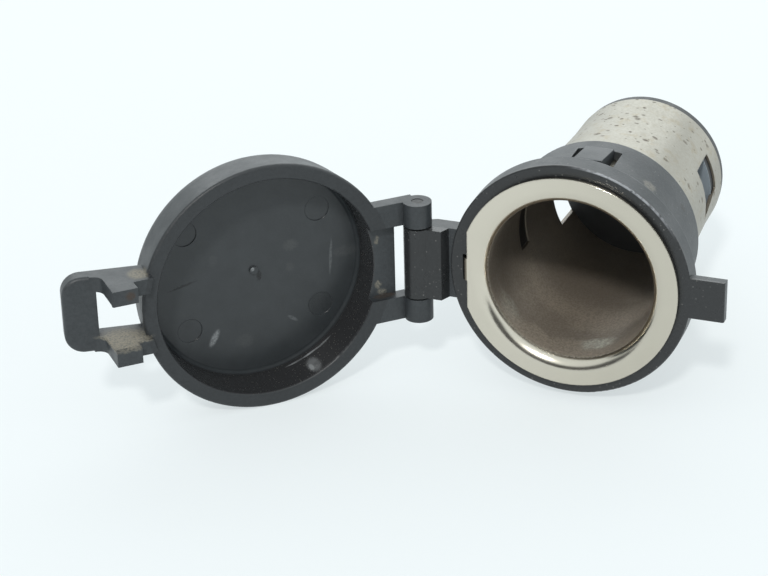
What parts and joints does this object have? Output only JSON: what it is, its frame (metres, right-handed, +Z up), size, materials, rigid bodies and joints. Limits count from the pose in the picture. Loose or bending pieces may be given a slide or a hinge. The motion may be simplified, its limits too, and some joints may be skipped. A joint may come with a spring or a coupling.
{
  "type": "car power socket",
  "caption": "Panel-mount car power socket: a plated metal shell in a black snap-in collar, with a hinged round cap whose loop latches over a side catch.",
  "frame": {"origin": "on the socket's axis, in the plane of the panel face that the collar's rim bears on", "axes": "+Y to the rear along the socket's axis, +X towards the catch, +Z up along the hinge pin"},
  "size_m": [0.075, 0.0745, 0.0324],
  "materials": {
    "plated_shell": "satin nickel plate with small corrosion spots",
    "collar_plastic": "fine-grained black moulding",
    "cap_plastic": "black moulding, smooth inside, a little dusty",
    "pin_steel": "dull steel",
    "insulator_plastic": "dark moulding",
    "contact_metal": "nickel plate",
    "rivet_brass": "dull brass",
    "terminal_brass": "rolled brass"
  },
  "bodies": {
    "socket": {"socket_shell": "plated_shell", "mounting_collar": "collar_plastic", "rear_insulator": "insulator_plastic", "centre_contact": "contact_metal", "contact_rivet": "rivet_brass", "positive_terminal": "terminal_brass"},
    "cap": {"cap": "cap_plastic", "hinge_pin": "pin_steel"}
  },
  "joints": [
    {"name": "cap_hinge", "type": "hinge", "parent": "socket", "child": "cap", "pos_m": [-0.0196, -0.00314, 0], "axis": [0, 0, -1], "range_deg": [-136.2, 43.8]}
  ]
}
